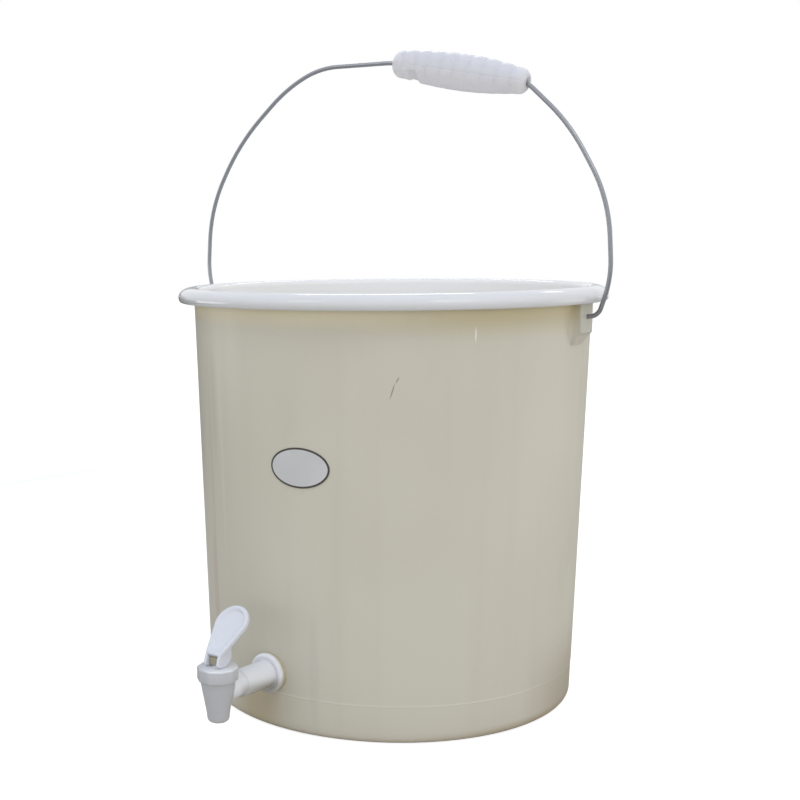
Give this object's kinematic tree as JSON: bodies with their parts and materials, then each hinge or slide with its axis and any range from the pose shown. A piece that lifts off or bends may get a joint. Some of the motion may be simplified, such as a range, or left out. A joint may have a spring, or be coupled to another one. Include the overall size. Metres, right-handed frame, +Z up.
{
  "type": "bucket with tap",
  "caption": "Tapered plastic bucket with a push-on lid, a swinging wire bail with a loose grip, and a sprung lever tap low on its wall.",
  "frame": {"origin": "centre of the flat base that the bucket stands on", "axes": "+Z up along the bucket's axis, the tap points along -Y, the bail's ears lie near +X and -X"},
  "size_m": [0.3468, 0.3748, 0.4881],
  "materials": {
    "cream_plastic": "smooth semi-gloss cream polyethylene",
    "white_plastic": "glossy white",
    "label": "plain grey field with a dark border",
    "wire": "galvanised",
    "gasket": "tan",
    "silicone": "milky",
    "spring_steel": "bright"
  },
  "bodies": {
    "bucket": {"bucket_body": "cream_plastic", "wall_label": "label", "tap_body": "white_plastic", "tap_bonnet": "white_plastic", "outer_gasket": "gasket", "inner_gasket": "gasket", "back_nut": "white_plastic", "seat_cup": "silicone", "return_spring": "spring_steel"},
    "lid": {"bucket_lid": "white_plastic"},
    "bail": {"bail_wire": "wire"},
    "grip": {"bail_grip": "white_plastic"},
    "stem": {"valve_stem": "white_plastic"},
    "lever": {"tap_lever": "white_plastic"}
  },
  "joints": [
    {"name": "lid_lift", "type": "slide", "parent": "bucket", "child": "lid", "axis": [0, 0, 1], "range_m": [0, 0.06]},
    {"name": "bail_swing", "type": "hinge", "parent": "bucket", "child": "bail", "pos_m": [0, 0, 0.2947], "axis": [0.9917, 0.1288, 0], "range_deg": [-112, 112]},
    {"name": "grip_spin", "type": "hinge", "parent": "bail", "child": "grip", "pos_m": [0.05593, 0.00726, 0.4687], "axis": [0.9721, 0.1263, -0.1977], "continuous": true},
    {"name": "stem_lift", "type": "slide", "parent": "bucket", "child": "stem", "axis": [0, 0, 1], "range_m": [0, 0.00265], "deforming": ["seat_cup", "return_spring"]},
    {"name": "lever_tilt", "type": "hinge", "parent": "stem", "child": "lever", "pos_m": [0, -0.19798, 0.0656], "axis": [1, 0, 0], "range_deg": [0, 50], "stiffness_Nm_per_rad": 0.2, "springref_deg": -8.59}
  ],
  "couplings": [
    {"joint": "stem_lift", "follows": "lever_tilt", "m_per_rad": 0.003}
  ]
}
